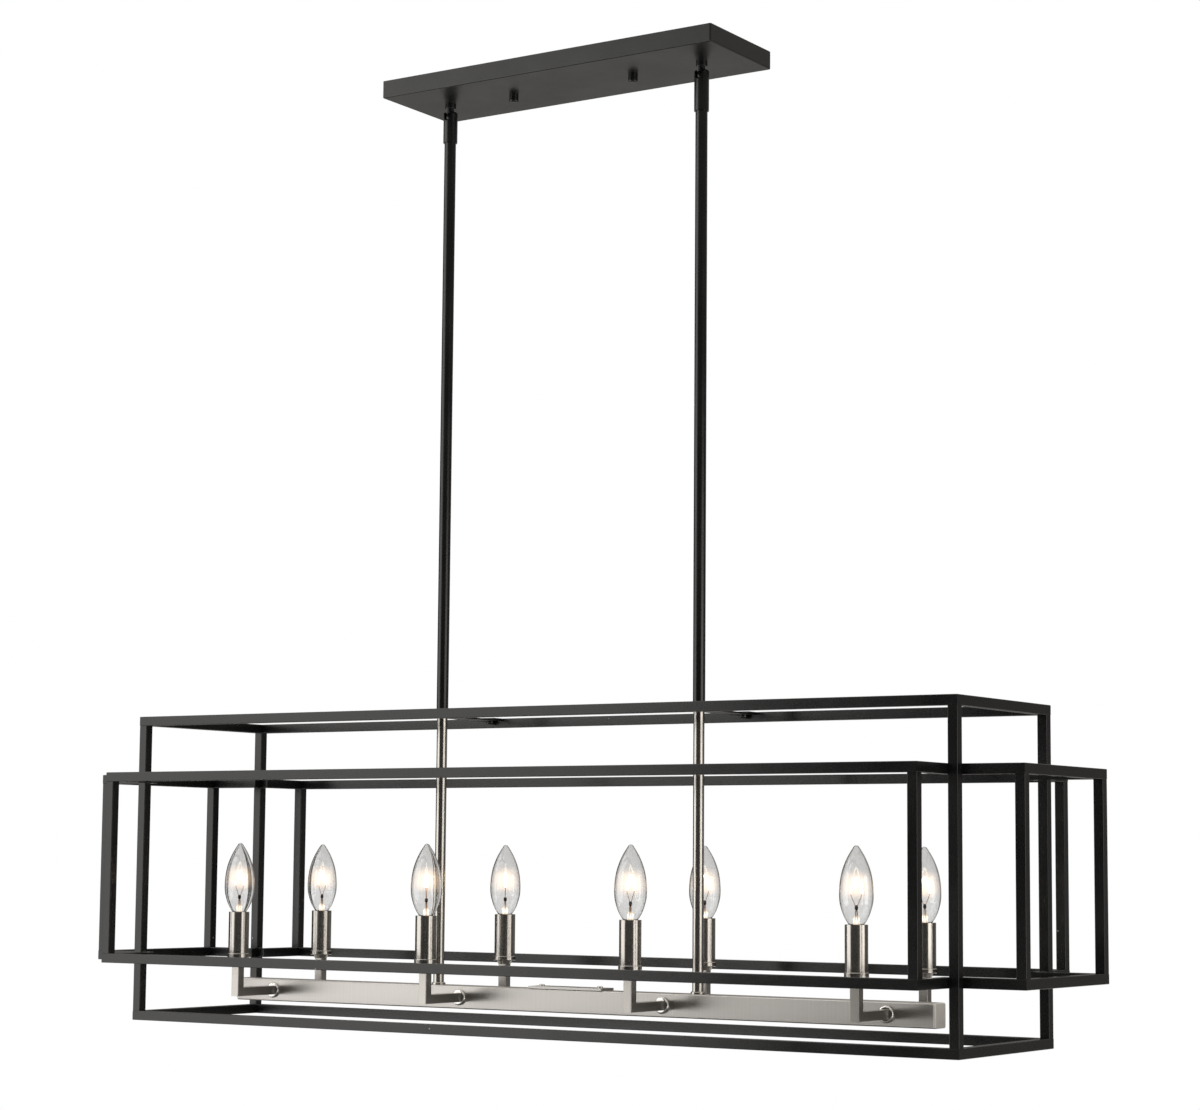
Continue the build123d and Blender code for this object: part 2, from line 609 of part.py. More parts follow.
def make_candles():
    bases = []
    sockets = []
    nipples = []
    for s, name in ((-1, "front"), (1, "back")):
        sleeves = []
        for x in candle_xs:
            y = s * ARM_REACH
            lip_top = candle_bottom + CANDLE_LIP_HEIGHT
            inner = CANDLE_D / 2 - CANDLE_WALL
            sleeve = ring(CANDLE_D / 2, inner, lip_top, candle_top, x, y)
            sleeves.append(sleeve)
            base = disc(CANDLE_LIP_D / 2, candle_bottom, lip_top, x, y)
            base = fillet(base.edges().filter_by(GeomType.CIRCLE), 0.8)
            cone = Cone(CANDLE_FOOT_LOW_D / 2, CANDLE_FOOT_TOP_D / 2, CANDLE_FOOT_HEIGHT)
            base += Pos(x, y, arm_top + CANDLE_FOOT_HEIGHT / 2) * cone
            base -= disc(inner, candle_bottom + CANDLE_FLOOR, lip_top + 1, x, y)
            base -= disc(ARM_THREAD_D / 2 + THREAD_CLEARANCE, arm_top - 1, lip_top, x, y)
            bases.append(base)
            floor = candle_bottom + CANDLE_FLOOR
            mouth = candle_top - SOCKET_BELOW_TOP
            socket = disc(SOCKET_D / 2, mouth - SOCKET_HEIGHT, mouth, x, y)
            socket += disc(SOCKET_POST_D / 2, floor, mouth - SOCKET_HEIGHT, x, y)
            bore = BULB_BASE_D / 2 + SOCKET_BORE_CLEARANCE
            socket -= disc(bore, mouth - SOCKET_HEIGHT + SOCKET_FLOOR, mouth + 1, x, y)
            hole = ARM_THREAD_D / 2 + THREAD_CLEARANCE / 2
            socket -= disc(hole, floor - 1, floor + CANDLE_NIPPLE_ABOVE, x, y)
            low = arm_top - CANDLE_NIPPLE_BELOW
            nipples.append(ring(ARM_THREAD_D / 2, NIPPLE_BORE / 2, low, floor + CANDLE_NIPPLE_ABOVE - 1, x, y))
            sockets.append(socket)
        save(group(sleeves), "candle_sleeves_" + name)
    save(group(bases), "candle_bases")
    save(group(sockets), "lamp_sockets")
    save(group(nipples), "candle_nipples")


# ---- lamps ----
def bulb_solid(inset, low):
    """The torpedo outline turned about Z; inset shrinks it for the inside of the glass."""
    tip = BULB_TIP_ABOVE_CANDLE - inset
    squash = tip / BULB_TIP_ABOVE_CANDLE
    points = [(r - inset, z * squash) for r, z in BULB_OUTLINE]
    edge_r, edge_z = points[-1]
    rise = tip - edge_z
    crown = (edge_r**2 + rise**2) / (2 * rise)
    middle = (edge_r / 2, tip - crown + (crown**2 - edge_r**2 / 4) ** 0.5)
    curve = Spline(*points) + ThreePointArc(points[-1], middle, (0, tip))
    foot = BULB_WAIST_R - inset
    outline = Polyline((0, tip), (0, low), (foot, low), points[0])
    return revolve(Plane.XZ * make_face(curve + outline), Axis.Z)


def make_bulb(x, s, index):
    y = s * ARM_REACH
    shell_top = candle_top - BULB_BASE_BELOW_TOP
    shell_low = shell_top - BULB_BASE_HEIGHT
    outer = bulb_solid(0.0, -BULB_BASE_BELOW_TOP)
    glass = outer - bulb_solid(BULB_WALL, BULB_FOOT - BULB_BASE_BELOW_TOP)
    place = Pos(x, y, candle_top)
    save(place * glass, "bulb_glass_" + index)

    shell = disc(BULB_BASE_D / 2, shell_low, shell_top, x, y)
    shell = chamfer(shell.edges().filter_by(GeomType.CIRCLE).sort_by(Axis.Z)[0], 1.6)
    shell += disc(BULB_CONTACT_D / 2, shell_low - BULB_CONTACT_HEIGHT, shell_low, x, y)

    floor = candle_top - BULB_BASE_BELOW_TOP + BULB_FOOT
    pillar_top = floor + STEM_GLASS_HEIGHT
    pillar = disc(STEM_GLASS_D / 2, floor, pillar_top, x, y)
    pillar = fillet(pillar.edges().filter_by(GeomType.CIRCLE).sort_by(Axis.Z)[-1], 1.5)
    solids = [shell, pillar]
    lead_low = pillar_top - 4
    lead_top = pillar_top + LEAD_HEIGHT
    for side in SIDES:
        foot = Vector(x + side * (STEM_GLASS_D / 2 + LEAD_D / 2), y, lead_low)
        head = Vector(x + side * LEAD_SPREAD, y, lead_top)
        plane = Plane(origin=foot, z_dir=head - foot)
        solids.append(extrude(plane * Circle(LEAD_D / 2), (head - foot).length))
    reach = LEAD_SPREAD + LEAD_D
    coil = Pos(x - reach, y, lead_top + FILAMENT_D / 2) * Rot(0, 90, 0)
    solids.append(coil * extrude(Circle(FILAMENT_D / 2), 2 * reach))
    save(group(solids), "bulb_base_" + index)


make_canopy()
make_crossbar()
make_swivels()
make_rods()
make_straps()
make_stems()
make_tall_cage()
make_long_band(-1, "front_band_frame")
make_long_band(1, "back_band_frame")
make_end_band(-1, "left_band_frame")
make_end_band(1, "right_band_frame")
make_bar()
make_wiring()
make_arms()
make_candles()
bulb_number = 0
for side in SIDES:
    for candle_x in candle_xs:
        bulb_number += 1
        make_bulb(candle_x, side, str(bulb_number))
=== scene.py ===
# %% [markdown]
# # A linear island pendant
# This file dresses a finished model of a ceiling light: an open cage of black square tube around a nickel bar with
# eight candle lamps, hung on two rods from a flat canopy. The solid model arrives ready-made, in metres, with every
# part in its place. Each step below says what a part or a finish is on the real light, and why it is made this way.

# %% Load the solid model
import math

import bmesh
import bpy
from mathutils import Matrix, Vector


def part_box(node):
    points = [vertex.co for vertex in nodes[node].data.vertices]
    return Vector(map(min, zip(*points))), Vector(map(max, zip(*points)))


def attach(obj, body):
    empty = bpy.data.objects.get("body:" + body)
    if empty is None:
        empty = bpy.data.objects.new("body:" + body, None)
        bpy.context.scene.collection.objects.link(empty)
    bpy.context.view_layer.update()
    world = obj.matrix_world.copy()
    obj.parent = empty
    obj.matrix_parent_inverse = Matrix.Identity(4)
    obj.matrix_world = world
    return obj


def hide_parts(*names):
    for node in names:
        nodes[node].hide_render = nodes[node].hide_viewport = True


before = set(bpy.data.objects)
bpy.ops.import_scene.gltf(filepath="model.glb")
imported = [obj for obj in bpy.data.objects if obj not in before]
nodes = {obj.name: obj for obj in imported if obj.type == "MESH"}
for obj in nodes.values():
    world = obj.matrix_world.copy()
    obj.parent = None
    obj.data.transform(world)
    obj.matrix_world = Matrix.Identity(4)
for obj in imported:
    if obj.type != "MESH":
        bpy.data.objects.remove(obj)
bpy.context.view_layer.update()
scene = bpy.context.scene

# %% [markdown]
# ## The camera
# The photograph was taken from the front right, from about the height of the cage, looking slightly up. A long lens
# keeps the perspective gentle. The camera's turn is built from three angles, so each one can be read and changed by
# itself.

# %% Camera
YAW, PITCH, ROLL = math.radians(33.16), math.radians(6.18), math.radians(0.46)
CAMERA_PLACE = Vector((1.64161, -2.45207, -0.84114))
SENSOR_WIDTH, FOCAL_LENGTH = 36.0, 85.335  # millimetres

ahead = Vector((-math.sin(YAW) * math.cos(PITCH), math.cos(YAW) * math.cos(PITCH), math.sin(PITCH)))
level_right = Vector((math.cos(YAW), math.sin(YAW), 0))
level_up = level_right.cross(ahead)
right = level_right * math.cos(ROLL) + level_up * math.sin(ROLL)
up = level_up * math.cos(ROLL) - level_right * math.sin(ROLL)

camera = bpy.data.objects.new("photo_camera", bpy.data.cameras.new("photo_camera"))
camera.data.sensor_fit = "HORIZONTAL"
camera.data.sensor_width = SENSOR_WIDTH
camera.data.lens = FOCAL_LENGTH
turn = Matrix((right, up, -ahead)).transposed().to_4x4()
camera.matrix_world = Matrix.Translation(CAMERA_PLACE) @ turn
scene.collection.objects.link(camera)
scene.camera = camera
print("camera looks along", [round(v, 3) for v in ahead])

# %% [markdown]
# ## Node helpers
# Materials and the studio's background are both built from shader nodes. These short functions make one node each,
# set its numbers and give back the node or the socket that the next one needs.

# %% Node helpers
def node_in(tree, kind, **values):
    """A new node whose named inputs are set; an underscore stands for the space in an input's name."""
    made = tree.nodes.new(kind)
    for name, value in values.items():
        made.inputs[name.replace("_", " ")].default_value = value
    return made


def add_math(tree, operation, first, second=None):
    """One sum: each operand is a socket or a number."""
    made = tree.nodes.new("ShaderNodeMath")
    made.operation = operation
    for slot, operand in zip(made.inputs, (first, second)):
        if isinstance(operand, (int, float)):
            slot.default_value = operand
        elif operand is not None:
            tree.links.new(operand, slot)
    return made.outputs[0]


def ranged(tree, value, low, high, to_low, to_high, shape="LINEAR"):
    """Value moved from one range to another, and held inside it."""
    made = node_in(
        tree, "ShaderNodeMapRange", From_Min=low, From_Max=high, To_Min=to_low, To_Max=to_high
    )
    made.interpolation_type = shape
    tree.links.new(value, made.inputs["Value"])
    return made.outputs["Result"]


def mix_shaders(tree, factor, first, second):
    """One shader where the factor is 0 and the other where it is 1."""
    made = tree.nodes.new("ShaderNodeMixShader")
    tree.links.new(factor, made.inputs["Fac"])
    tree.links.new(first, made.inputs[1])
    tree.links.new(second, made.inputs[2])
    return made.outputs[0]


print("node helpers ready")

# %% [markdown]
# ## The studio
# The camera sees plain white behind the light, and so does a look straight through the glass of a lamp. Reflections
# get another room: it is dim and a little warm at eye level, and bright towards the ceiling and the floor, as if
# white boards lay there. A faint board also stands far behind. The dim belt is what makes polished metal look like
# metal, because it draws the dark stripes between the bright ones. It also darkens the rims of the lamps' glass,
# where the view glances off the glass instead of passing through.

# %% World
WHITE, WARM_ROOM = (1, 1, 1, 1), (1.0, 0.965, 0.92, 1)
DIM_BELOW, BRIGHT_ABOVE = 0.18, 0.8  # slant of a direction, from 0 for level to 1 for upright
DIM_ROOM, BRIGHT_BOARDS, FAR_BOARD = 0.06, 1.0, 0.12
FAR_BOARD_START = 0.3

world = bpy.data.worlds.new("white_studio")
scene.world = world
world.use_nodes = True
tree = world.node_tree
tree.nodes.clear()
out = tree.nodes.new("ShaderNodeOutputWorld")
seen = node_in(tree, "ShaderNodeBackground", Color=WHITE, Strength=1.0)
reflected = node_in(tree, "ShaderNodeBackground", Color=WARM_ROOM)
direction = tree.nodes.new("ShaderNodeSeparateXYZ")
tree.links.new(tree.nodes.new("ShaderNodeTexCoord").outputs["Generated"], direction.inputs[0])
slant = add_math(tree, "ABSOLUTE", direction.outputs["Z"])
boards = ranged(tree, slant, DIM_BELOW, BRIGHT_ABOVE, DIM_ROOM, BRIGHT_BOARDS)
behind = ranged(tree, direction.outputs["Y"], FAR_BOARD_START, 1.0, 0.0, FAR_BOARD)
tree.links.new(add_math(tree, "ADD", boards, behind), reflected.inputs["Strength"])

light_path = tree.nodes.new("ShaderNodeLightPath")
not_mirrored = add_math(tree, "LESS_THAN", light_path.outputs["Glossy Depth"], 0.5)
through_glass = add_math(tree, "MULTIPLY", light_path.outputs["Is Transmission Ray"], not_mirrored)
plain = add_math(tree, "MAXIMUM", light_path.outputs["Is Camera Ray"], through_glass)
tree.links.new(mix_shaders(tree, plain, reflected.outputs[0], seen.outputs[0]), out.inputs["Surface"])
scene.view_settings.view_transform = "Standard"
print("world nodes", len(tree.nodes))

# %% [markdown]
# ### Soft boxes
# Product pictures like this one are lit by large soft boxes, and metal shows each of them. The box at the front left
# brightens the faces that look forwards. The one at the right draws a bright line down each round part. A weaker one
# overhead gives the tops of the tubes some light.

# %% Soft boxes
MIDDLE = Vector((0, 0, -0.80))
# name, angle from straight ahead, distance, height, width, tall, radiance, colour
SOFT_BOXES = [
    ("front_left_box", -49, 2.0, -0.55, 1.9, 2.6, 1.75, (1.0, 0.985, 0.965)),
    ("right_box", 88, 2.2, -0.95, 1.7, 1.5, 2.1, (1.0, 0.96, 0.92)),
    ("top_box", -20, 2.4, 1.6, 1.6, 1.2, 0.8, (1, 1, 1)),
]


def soft_box(name, side_angle, distance, height, width, tall, radiance, colour):
    """A tall lamp turned to the light's middle; side_angle counts from straight ahead, positive to the right."""
    turn_angle = math.radians(side_angle)
    place = Vector((math.sin(turn_angle) * distance, -math.cos(turn_angle) * distance, height))
    lamp = bpy.data.lights.new(name, "AREA")
    lamp.shape = "RECTANGLE"
    lamp.size = width
    lamp.size_y = tall
    lamp.energy = radiance * math.pi * width * tall
    lamp.color = colour
    box = bpy.data.objects.new(name, lamp)
    box.location = place
    box.rotation_euler = (MIDDLE - place).to_track_quat("-Z", "Y").to_euler()
    scene.collection.objects.link(box)


for settings in SOFT_BOXES:
    soft_box(*settings)
print("soft boxes", len(SOFT_BOXES))

# %% [markdown]
# ### Floor
# A pale floor lies under the light, as in a studio. Reflections see a dark mat in its middle instead, because a pale
# floor right below would lighten the black undersides. Farther out the mat turns pale again, and this is what a flat
# underside mirrors at a low angle. For the camera the floor fades out with distance, so no edge shows. From below it
# is clear, so that the light can be looked at from underneath.

# %% Floor
REACH, FLOOR_LEVEL = 5.0, -1.95
FLOOR_COLOUR, FLOOR_ROUGHNESS = (0.79, 0.82, 0.85, 1), 0.7
MAT_EDGE, MAT_END = 2.3, 3.4
MAT_DARK, MAT_PALE = 0.10, 0.8
FADE_START, FADE_END = 1.2, 4.6

floor_mesh = bpy.data.meshes.new("floor")
corners = [(-REACH, -REACH), (REACH, -REACH), (REACH, REACH), (-REACH, REACH)]
floor_mesh.from_pydata([(x, y, FLOOR_LEVEL) for x, y in corners], [], [(0, 1, 2, 3)])
floor = bpy.data.objects.new("floor", floor_mesh)
scene.collection.objects.link(floor)
pale = bpy.data.materials.new("pale_floor")
pale.use_nodes = True
floor_mesh.materials.append(pale)
tree = pale.node_tree
shader = tree.nodes["Principled BSDF"]
shader.inputs["Base Color"].default_value = FLOOR_COLOUR
shader.inputs["Roughness"].default_value = FLOOR_ROUGHNESS

from_middle = tree.nodes.new("ShaderNodeVectorMath")
from_middle.operation = "LENGTH"
tree.links.new(tree.nodes.new("ShaderNodeTexCoord").outputs["Object"], from_middle.inputs[0])
far = from_middle.outputs["Value"]
mat = tree.nodes.new("ShaderNodeBsdfDiffuse")
tree.links.new(ranged(tree, far, MAT_EDGE, MAT_END, MAT_DARK, MAT_PALE), mat.inputs["Color"])
light_path = tree.nodes.new("ShaderNodeLightPath")
solid = mix_shaders(tree, light_path.outputs["Is Glossy Ray"], shader.outputs[0], mat.outputs[0])

faded = ranged(tree, far, FADE_START, FADE_END, 0.0, 1.0, "SMOOTHSTEP")
faded_for_camera = add_math(tree, "MULTIPLY", faded, light_path.outputs["Is Camera Ray"])
underside = tree.nodes.new("ShaderNodeNewGeometry").outputs["Backfacing"]
cleared = add_math(tree, "MAXIMUM", faded_for_camera, underside)
clear = tree.nodes.new("ShaderNodeBsdfTransparent").outputs[0]
surface = mix_shaders(tree, cleared, solid, clear)
tree.links.new(surface, tree.nodes["Material Output"].inputs["Surface"])

# %% [markdown]
# ## Shared surface effects
# Several finishes need the same three things: the tiny orange-peel waves of powder coat, the long scratches of
# brushed plating, and a few small specks where the coat is thin. Each is a node group, so that every material sets
# its own scale and strength. The groups put out only masks, heights and colours; the shader itself stays in the
# material.

# %% Group maker
def new_group(name, inputs, outputs):
    """A shader node group with named sockets; an input given as None or as three numbers is a vector."""
    made = bpy.data.node_groups.new(name, "ShaderNodeTree")
    for socket, value in inputs.items():
        kind = "NodeSocketVector" if isinstance(value, tuple) or value is None else "NodeSocketFloat"
        item = made.interface.new_socket(socket, in_out="INPUT", socket_type=kind)
        if value is not None:
            item.default_value = value
    for socket in outputs:
        made.interface.new_socket(socket, in_out="OUTPUT", socket_type="NodeSocketFloat")
    source = made.nodes.new("NodeGroupInput")
    sink = made.nodes.new("NodeGroupOutput")
    return made, source.outputs, sink.inputs


def noise_at(tree, vector, scale, detail):
    """Soft random clouds between 0 and 1; the scale is a number or a socket."""
    made = node_in(tree, "ShaderNodeTexNoise", Detail=detail, Roughness=0.5)
    tree.links.new(vector, made.inputs["Vector"])
    if isinstance(scale, (int, float)):
        made.inputs["Scale"].default_value = scale
    else:
        tree.links.new(scale, made.inputs["Scale"])
    return made.outputs["Fac"]


print("group maker ready")

# %% [markdown]
# ### Orange peel
# Powder is sprayed on dry and melts in an oven. It never flows quite flat, so the coat keeps waves about a
# millimetre across, like the skin of an orange. Larger clouds make some places a little duller than others.

# %% Orange peel
NOISE_LOW, NOISE_HIGH = 0.3, 0.7  # most of a noise's values lie between these two
CLOUD_DULLNESS = 0.05

peel, given, result = new_group(
    "orange_peel",
    {"Place": None, "Pit Size": 900.0, "Cloud Size": 14.0},
    ("Height", "Roughness Change"),
)
pits = noise_at(peel, given["Place"], given["Pit Size"], 2.0)
clouds = noise_at(peel, given["Place"], given["Cloud Size"], 4.0)
duller = ranged(peel, clouds, NOISE_LOW, NOISE_HIGH, -CLOUD_DULLNESS, CLOUD_DULLNESS)
peel.links.new(pits, result["Height"])
peel.links.new(duller, result["Roughness Change"])
print("made", peel.name)

# %% [markdown]
# ### Brushed grain
# Brushing leaves fine parallel scratches. Each one is a little rougher than the metal beside it, and they are
# stronger in some places than in others.

# %% Brushed grain
SCRATCH_DULLNESS = 0.02

grain, given, result = new_group(
    "brushed_grain",
    {"Place": None, "Stretch": (4.0, 900.0, 900.0), "Fade Size": 9.0},
    ("Height", "Roughness Change", "Shade"),
)
stretched = grain.nodes.new("ShaderNodeVectorMath")
stretched.operation = "MULTIPLY"
grain.links.new(given["Place"], stretched.inputs[0])
grain.links.new(given["Stretch"], stretched.inputs[1])
scratches = noise_at(grain, stretched.outputs[0], 1.0, 2.0)
fade = noise_at(grain, given["Place"], given["Fade Size"], 2.0)
grain.links.new(scratches, result["Height"])
scratch_depth = ranged(grain, scratches, NOISE_LOW, NOISE_HIGH, -1, 1)
scratch_share = ranged(grain, fade, NOISE_LOW, NOISE_HIGH, 0.4, 1)
both = add_math(grain, "MULTIPLY", scratch_depth, scratch_share)
grain.links.new(add_math(grain, "MULTIPLY", both, SCRATCH_DULLNESS), result["Roughness Change"])
grain.links.new(ranged(grain, scratches, 0.25, 0.75, 0.0, 1.0), result["Shade"])
print("made", grain.name)

# %% [markdown]
# ### Thin spots
# Powder coat can be so thin in places that a pinprick of steel shows. The pinpricks are small round cells that appear
# only inside rare patches.

# %% Specks
SPECK_SIZE, PATCH_SCALE, PATCH_FROM = 0.045, 3.0, 0.56

specks, given, result = new_group(
    "thin_coat_specks",
    {"Place": None, "Spacing": 60.0, "Speck Size": SPECK_SIZE},
    ("Mask",),
)
cells = specks.nodes.new("ShaderNodeTexVoronoi")
specks.links.new(given["Place"], cells.inputs["Vector"])
specks.links.new(given["Spacing"], cells.inputs["Scale"])
near = add_math(specks, "LESS_THAN", cells.outputs["Distance"], given["Speck Size"])
patch = noise_at(specks, given["Place"], PATCH_SCALE, 1.0)
rare = add_math(specks, "GREATER_THAN", patch, PATCH_FROM)
specks.links.new(add_math(specks, "MULTIPLY", near, rare), result["Mask"])
print("made", specks.name)

# %% [markdown]
# ## Finishes
# The cage, rods and canopy are powder coated in satin black. Powder coat is a plastic skin over steel, so it is not
# metallic: it is a very dark colour under a soft gloss. The bar, arms and candles are brushed nickel, a warm grey
# metal. The rings at the bar are the same plate left polished.

# %% Material helpers
def new_material(name, **values):
    """A material with one Principled shader, the place on the part, and the shader's constant inputs set."""
    made = bpy.data.materials.new(name)
    made.use_nodes = True
    tree = made.node_tree
    shader = tree.nodes["Principled BSDF"]
    for socket, value in values.items():
        shader.inputs[socket.replace("_", " ")].default_value = value
    place = tree.nodes.new("ShaderNodeTexCoord").outputs["Object"]
    return made, tree, shader, place


def use_group(tree, group, place, **values):
    """One use of a shared effect, with its own numbers; gives back the effect's outputs."""
    made = tree.nodes.new("ShaderNodeGroup")
    made.node_tree = group
    tree.links.new(place, made.inputs["Place"])
    for socket, value in values.items():
        made.inputs[socket.replace("_", " ")].default_value = value
    return made.outputs


def raise_surface(tree, shader, height, strength, depth):
    """Fine relief that is too small to model; depth is in metres."""
    bump = node_in(tree, "ShaderNodeBump", Strength=strength, Distance=depth)
    tree.links.new(height, bump.inputs["Height"])
    tree.links.new(bump.outputs["Normal"], shader.inputs["Normal"])


def blend_colours(tree, factor, first, second):
    """One colour where the factor is 0 and the other where it is 1; the first may be a socket."""
    made = tree.nodes.new("ShaderNodeMix")
    made.data_type = "RGBA"
    tree.links.new(factor, made.inputs["Factor"])
    if isinstance(first, tuple):
        made.inputs["A"].default_value = (*first, 1)
    else:
        tree.links.new(first, made.inputs["A"])
    made.inputs["B"].default_value = (*second, 1)
    return made.outputs["Result"]


def vary_roughness(tree, shader, effect, roughness):
    """The shader's roughness, changed a little by a shared effect."""
    tree.links.new(add_math(tree, "ADD", effect["Roughness Change"], roughness), shader.inputs["Roughness"])


print("material helpers ready")

# %% [markdown]
# ### Satin black
# The cage's coat is the smoothest and the canopy's the dullest; the rods and their swivels lie in between. Only the
# cage's coat has pinpricks.

# %% Satin black powder coat
BARE_STEEL = (0.35, 0.34, 0.32)
PEEL_DEPTH = 0.0002


def powder_coat(name, dark, light, roughness, gloss, speck_size):
    """Black coat over steel; the waves change its colour, its dullness and its surface."""
    made, tree, shader, place = new_material(name, Specular_IOR_Level=gloss)
    waves = use_group(tree, peel, place)
    spots = use_group(tree, specks, place, Speck_Size=speck_size)
    coat = blend_colours(tree, ranged(tree, waves["Height"], NOISE_LOW, NOISE_HIGH, 0, 1), dark, light)
    tree.links.new(blend_colours(tree, spots["Mask"], coat, BARE_STEEL), shader.inputs["Base Color"])
    vary_roughness(tree, shader, waves, roughness)
    raise_surface(tree, shader, waves["Height"], 0.25, PEEL_DEPTH)
    return made


BLACK_DARK, BLACK_LIGHT = (0.003, 0.003, 0.003), (0.006, 0.006, 0.006)
black_coat = powder_coat("satin_black_coat", BLACK_DARK, BLACK_LIGHT, 0.22, 0.48, SPECK_SIZE)
canopy_coat = powder_coat("canopy_black_coat", (0.004, 0.004, 0.004), (0.007, 0.007, 0.0065), 0.33, 0.5, 0.0)
rod_coat = powder_coat("rod_black_coat", BLACK_DARK, BLACK_LIGHT, 0.24, 0.52, 0.0)
print("made", black_coat.name, canopy_coat.name, rod_coat.name)

# %% [markdown]
# ### Brushed nickel
# One recipe serves all the nickel parts; the direction of the scratches and the colours differ. The arms' darker
# colours are painted shade, and the end caps' lighter ones are painted light. The scratches are noise pulled out
# along
# one axis: a small number in that axis makes long streaks, and large numbers in the others make them fine. The arms'
# streaks run from front to back, and those of the candles and stems stand upright. Equal numbers give an even grain
# without a direction.

# %% Brushed nickel
NICKEL_DARK, NICKEL_LIGHT = (0.43, 0.405, 0.37), (0.53, 0.51, 0.475)
SCRATCH_DEPTH, SCRATCH_RELIEF = 0.00005, 0.05


def nickel(name, stretch, roughness, dark=NICKEL_DARK, light=NICKEL_LIGHT, relief=SCRATCH_RELIEF, spread=0.0):
    """Metal with scratches drawn out by stretch; spread pulls its reflections out along one direction."""
    made, tree, shader, place = new_material(name, Metallic=1.0, Anisotropic=spread)
    lines = use_group(tree, grain, place, Stretch=stretch)
    tree.links.new(blend_colours(tree, lines["Shade"], dark, light), shader.inputs["Base Color"])
    vary_roughness(tree, shader, lines, roughness)
    if relief:
        raise_surface(tree, shader, lines["Height"], relief, SCRATCH_DEPTH)
    return made


nickel_upright = nickel("brushed_nickel_upright", (600, 600, 1), 0.185, relief=0)
# painted shade: the arms' nickel is darker than the other nickel, for the dimmer look of the arms
darkened_nickel_across = nickel(
    "brushed_nickel_across_painted_shade", (2500, 3, 2500), 0.29, (0.36, 0.343, 0.318), (0.45, 0.435, 0.41)
)
# painted light: the end caps' nickel is lighter than the other nickel, for the brighter look of the bar's ends
lightened_nickel_satin = nickel("satin_nickel_ends_painted_light", (900, 900, 900), 0.58, (0.68, 0.66, 0.62), (0.74, 0.72, 0.68))
nickel_polished = nickel("polished_nickel", (60, 60, 60), 0.07, (0.66, 0.65, 0.62), (0.70, 0.69, 0.66))
zinc = nickel("zinc_plate", (40, 40, 40), 0.34, (0.50, 0.51, 0.52), (0.62, 0.62, 0.60))
brass = nickel("lamp_brass", (300, 300, 40), 0.24, (0.66, 0.52, 0.28), (0.78, 0.64, 0.38))
copper = nickel("copper_leads", (900, 900, 60), 0.3, (0.42, 0.20, 0.09), (0.60, 0.32, 0.17), relief=0)
print("made nickel, zinc, brass and copper")

# %% [markdown]
# The bar's scratches stand upright on its face. Such scratches smear a reflection sideways, so what stands near the
# bar shows in it as a wide soft band. The shader needs to know which way is sideways, and a tangent that turns about
# the upright axis tells it.

# %% Nickel of the bar
nickel_bar = nickel(
    "brushed_nickel_bar", (450, 450, 1), 0.29, (0.46, 0.443, 0.42), (0.51, 0.493, 0.47), relief=0, spread=0.82
)
tree = nickel_bar.node_tree
round_axis = tree.nodes.new("ShaderNodeTangent")
round_axis.direction_type = "RADIAL"
round_axis.axis = "Z"
tree.links.new(round_axis.outputs["Tangent"], tree.nodes["Principled BSDF"].inputs["Tangent"])
print("made", nickel_bar.name)

# %% [markdown]
# ### Plastics and paint
# The lamp sockets are dark moulded phenolic, and the wires and their caps are insulated in plain plastic. They sit
# inside the candles and the bar, and show only when a lamp is taken out or a cover comes off.

# %% Plastics
def moulded(name, dark, light, roughness):
    """Plastic or paint with the faint waves of its mould."""
    made, tree, shader, place = new_material(name)
    waves = use_group(tree, peel, place, Pit_Size=500.0)
    mottle = ranged(tree, waves["Height"], NOISE_LOW, NOISE_HIGH, 0, 1)
    tree.links.new(blend_colours(tree, mottle, dark, light), shader.inputs["Base Color"])
    vary_roughness(tree, shader, waves, roughness)
    raise_surface(tree, shader, waves["Height"], 0.15, PEEL_DEPTH)
    return made


phenolic = moulded("dark_phenolic", (0.018, 0.014, 0.012), (0.03, 0.024, 0.02), 0.45)
wire_jacket = moulded("wire_jacket", (0.70, 0.69, 0.66), (0.78, 0.77, 0.74), 0.5)
splice_plastic = moulded("splice_plastic", (0.60, 0.18, 0.04), (0.70, 0.24, 0.06), 0.45)
green_paint = moulded("green_screw_paint", (0.02, 0.20, 0.07), (0.03, 0.28, 0.10), 0.35)
print("made plastics")

# %% [markdown]
# ### Which part gets which finish
# The cage and its straps are most of the parts, so every part that is not listed here gets the cage's black coat.

# %% Dress the solids
FINISH = [
    (canopy_coat, ["canopy_pan"]),
    (rod_coat, [
        "cap_nuts", "down_rod_left", "down_rod_right", "swivel_sleeve_left", "swivel_sleeve_right", "swivel_collars",
    ]),
    (zinc, [
        "ceiling_crossbar", "canopy_studs", "swivel_nuts_and_washers", "threaded_nipples", "candle_nipples",
        "arm_lock_nuts", "stem_lock_nuts",
    ]),
    (green_paint, ["ground_screw"]),
    (nickel_upright, [
        "stem_left", "stem_right", "stem_flanges", "candle_sleeves_front", "candle_sleeves_back", "candle_bases",
    ]),
    (nickel_bar, ["center_bar", "bar_cover"]),
    (lightened_nickel_satin, ["bar_end_caps"]),
    (nickel_polished, ["cover_screws", "arm_rosettes"]),
    (darkened_nickel_across, ["arms_front", "arms_back"]),
    (phenolic, ["lamp_sockets"]),
    (wire_jacket, ["bar_conductors"]),
    (splice_plastic, ["splice_caps"]),
]
finish_of = {name: material for material, names in FINISH for name in names}
for name, piece in nodes.items():
    material = finish_of.get(name, black_coat)
    if not piece.data.materials:
        piece.data.materials.append(material)
    for slot in piece.material_slots:
        slot.material = material
print("dressed", len(nodes), "solids,", len(finish_of), "of them not in the cage's black")

